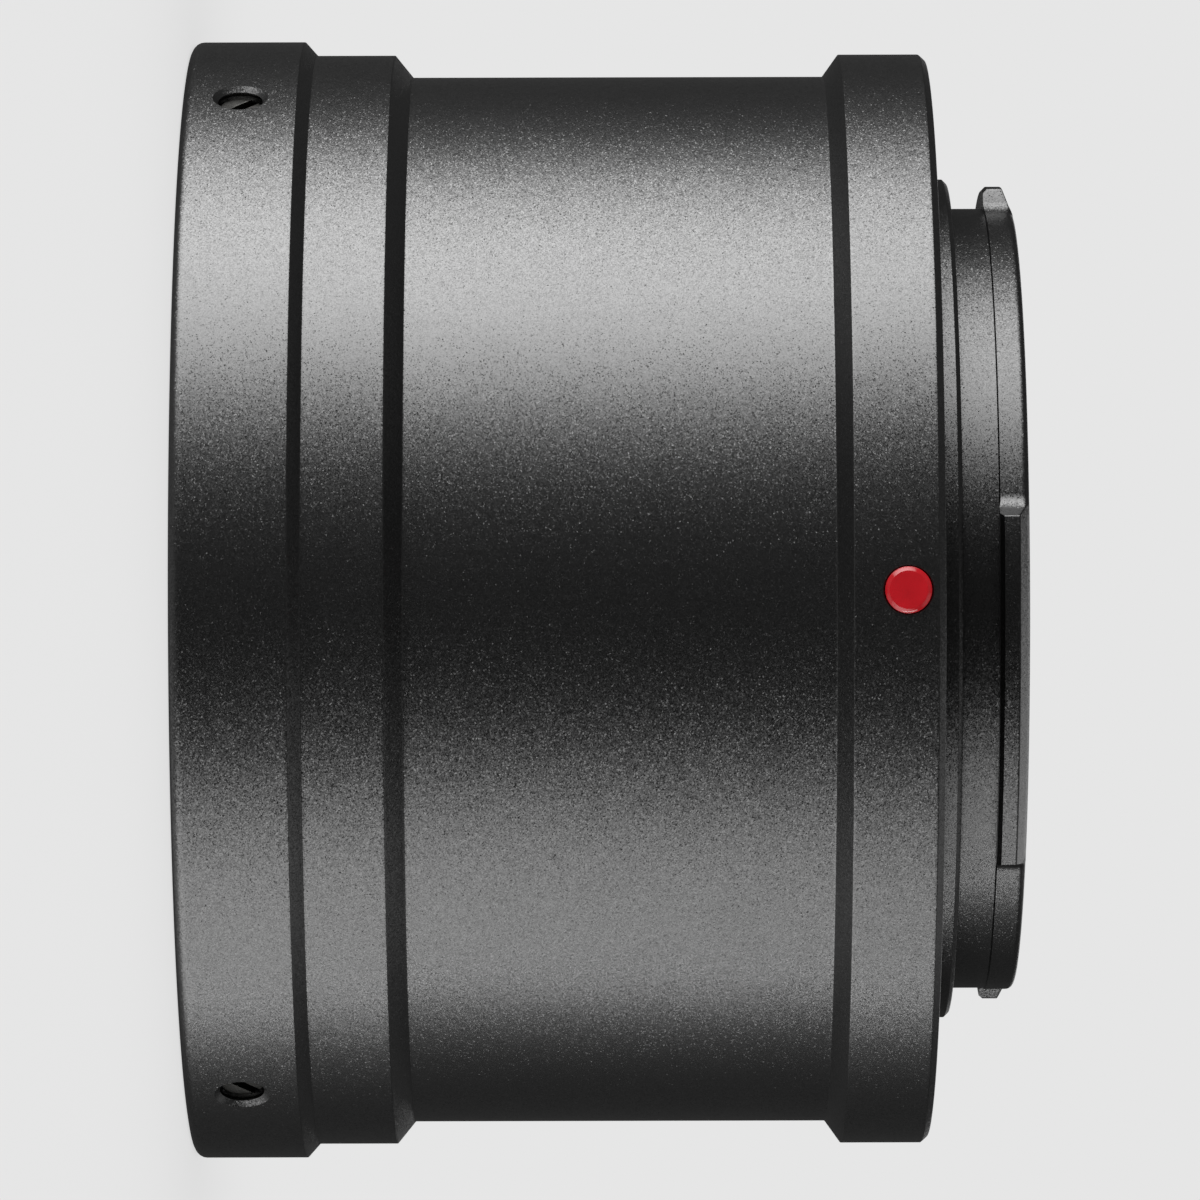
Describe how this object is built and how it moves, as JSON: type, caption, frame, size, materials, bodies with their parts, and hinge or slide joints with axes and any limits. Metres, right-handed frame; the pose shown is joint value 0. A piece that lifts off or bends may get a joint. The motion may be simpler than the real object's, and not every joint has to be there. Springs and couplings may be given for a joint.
{
  "type": "t-mount adapter",
  "caption": "Tubular adapter with a female T thread in a clampable ring at one end and a lugged camera bayonet at the other.",
  "frame": {"origin": "centre of the face at the T-thread end, on the optical axis; the part stands on that face", "axes": "+Z along the optical axis towards the camera; the red index bead faces -Y"},
  "size_m": [0.0532, 0.0532, 0.0388],
  "materials": {
    "black_anodised_aluminium": "bead-blasted and black anodised, fine satin",
    "blackened_steel": "black oxide",
    "bright_steel": "turned",
    "red_enamel": "glossy red"
  },
  "bodies": {
    "barrel": {"barrel": "black_anodised_aluminium", "bayonet_ring": "black_anodised_aluminium", "bayonet_screws": "blackened_steel", "stop_pin": "bright_steel", "index_bead": "red_enamel"},
    "t_ring": {"t_thread_ring": "black_anodised_aluminium"},
    "set_screw_1": {"set_screw_1": "blackened_steel"},
    "set_screw_2": {"set_screw_2": "blackened_steel"},
    "set_screw_3": {"set_screw_3": "blackened_steel"}
  },
  "joints": [
    {"name": "t_ring_turn", "type": "hinge", "parent": "barrel", "child": "t_ring", "pos_m": [0, 0, 0.003], "axis": [0, 0, 1], "continuous": true},
    {"name": "set_screw_1_travel", "type": "slide", "parent": "barrel", "child": "set_screw_1", "axis": [0.866, -0.5, 0], "range_m": [0, 0.0005]},
    {"name": "set_screw_2_travel", "type": "slide", "parent": "barrel", "child": "set_screw_2", "axis": [0, 1, 0], "range_m": [0, 0.0005]},
    {"name": "set_screw_3_travel", "type": "slide", "parent": "barrel", "child": "set_screw_3", "axis": [-0.866, -0.5, 0], "range_m": [0, 0.0005]}
  ]
}
